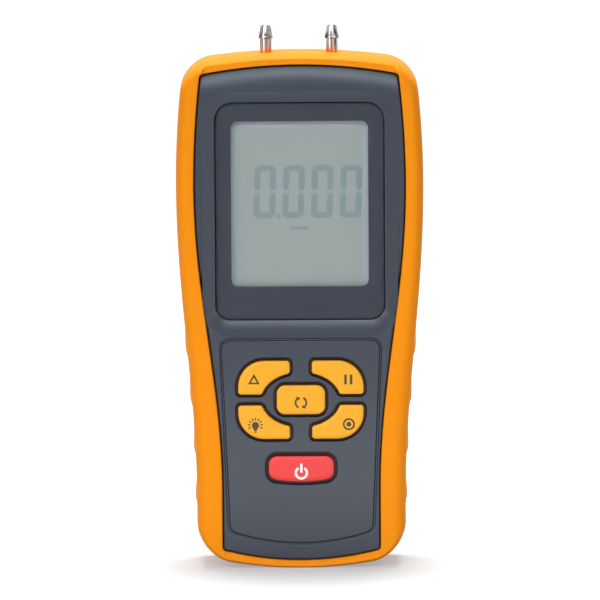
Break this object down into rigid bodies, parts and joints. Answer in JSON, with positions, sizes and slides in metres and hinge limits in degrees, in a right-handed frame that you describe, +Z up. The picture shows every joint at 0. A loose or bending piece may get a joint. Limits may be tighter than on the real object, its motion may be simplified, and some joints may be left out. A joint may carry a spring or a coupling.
{
  "type": "digital manometer",
  "caption": "Hand-held digital manometer in a rubber boot, with barbed pressure ports, a display, sprung keys and a hinged battery door.",
  "frame": {"origin": "under the middle of the boot's flat foot, with the meter standing upright", "axes": "+Z up along the body towards the pressure ports, -Y out of the display and keys, +X to the right seen from the front"},
  "size_m": [0.0802, 0.038, 0.1755],
  "materials": {
    "boot_rubber": "soft orange thermoplastic rubber, satin with a fine grain",
    "case_plastic": "dark blue-grey moulded plastic, fine texture",
    "lens_clear": "clear acrylic lens with a dark printed border",
    "display": "grey-green reflective liquid crystal glass",
    "key_yellow": "yellow-orange silicone rubber, satin",
    "key_red": "red silicone rubber, satin",
    "pill_black": "conductive black rubber",
    "mat_grey": "pale grey silicone rubber",
    "port_nickel": "bright nickel plate over brass",
    "nut_brass": "plain brass",
    "screw_steel": "zinc-plated steel",
    "screw_black": "blackened steel",
    "board_green": "green solder mask",
    "chip_black": "black moulded epoxy",
    "can_steel": "pressed steel can",
    "part_white": "off-white moulded plastic",
    "guide_clear": "milky acrylic light guide",
    "strip_pink": "layered elastomer connector",
    "contact_gold": "gold-plated pads",
    "tube_clear": "translucent silicone tube",
    "battery_can": "lacquered steel can, plain",
    "lead_red": "red insulated wire",
    "lead_black": "black insulated wire",
    "foam_dark": "dark cellular foam",
    "tape_black": "black double-sided tape"
  },
  "bodies": {
    "meter": {"boot": "boot_rubber", "front_case": "case_plastic", "rear_case": "case_plastic", "lens": "lens_clear", "lens_tape": "tape_black", "lcd_glass": "display", "lcd_holder": "part_white", "backlight_guide": "guide_clear", "backlight_led": "guide_clear", "zebra_strips": "strip_pink", "main_board": "board_green", "board_screws": "screw_steel", "case_screws": "screw_black", "keypad_mat": "mat_grey", "key_contacts": "contact_gold", "main_chip": "chip_black", "board_parts": "chip_black", "crystal": "can_steel", "buzzer": "chip_black", "pressure_sensor": "part_white", "high_port": "port_nickel", "low_port": "port_nickel", "port_washers": "pill_black", "port_nuts": "nut_brass", "high_tube": "tube_clear", "low_tube": "tube_clear", "battery": "battery_can", "snap_connector": "chip_black", "red_lead": "lead_red", "black_lead": "lead_black"},
    "dif_key": {"dif_button": "key_yellow", "dif_pill": "pill_black"},
    "hold_key": {"hold_button": "key_yellow", "hold_pill": "pill_black"},
    "light_key": {"light_button": "key_yellow", "light_pill": "pill_black"},
    "rec_key": {"rec_button": "key_yellow", "rec_pill": "pill_black"},
    "units_key": {"units_button": "key_yellow", "units_pill": "pill_black"},
    "power_key": {"power_button": "key_red", "power_pill": "pill_black"},
    "battery_door": {"battery_door": "case_plastic", "door_foam": "foam_dark", "door_screw": "screw_steel"}
  },
  "joints": [
    {"name": "dif_press", "type": "slide", "parent": "meter", "child": "dif_key", "axis": [0, 1, 0], "range_m": [0, 0.001], "stiffness_N_per_m": 1500},
    {"name": "hold_press", "type": "slide", "parent": "meter", "child": "hold_key", "axis": [0, 1, 0], "range_m": [0, 0.001], "stiffness_N_per_m": 1500},
    {"name": "light_press", "type": "slide", "parent": "meter", "child": "light_key", "axis": [0, 1, 0], "range_m": [0, 0.001], "stiffness_N_per_m": 1500},
    {"name": "rec_press", "type": "slide", "parent": "meter", "child": "rec_key", "axis": [0, 1, 0], "range_m": [0, 0.001], "stiffness_N_per_m": 1500},
    {"name": "units_press", "type": "slide", "parent": "meter", "child": "units_key", "axis": [0, 1, 0], "range_m": [0, 0.001], "stiffness_N_per_m": 1500},
    {"name": "power_press", "type": "slide", "parent": "meter", "child": "power_key", "axis": [0, 1, 0], "range_m": [0, 0.001], "stiffness_N_per_m": 1500},
    {"name": "door_hinge", "type": "hinge", "parent": "meter", "child": "battery_door", "pos_m": [0, 0.0172, 0.0134], "axis": [-1, 0, 0], "range_deg": [0, 90]}
  ]
}
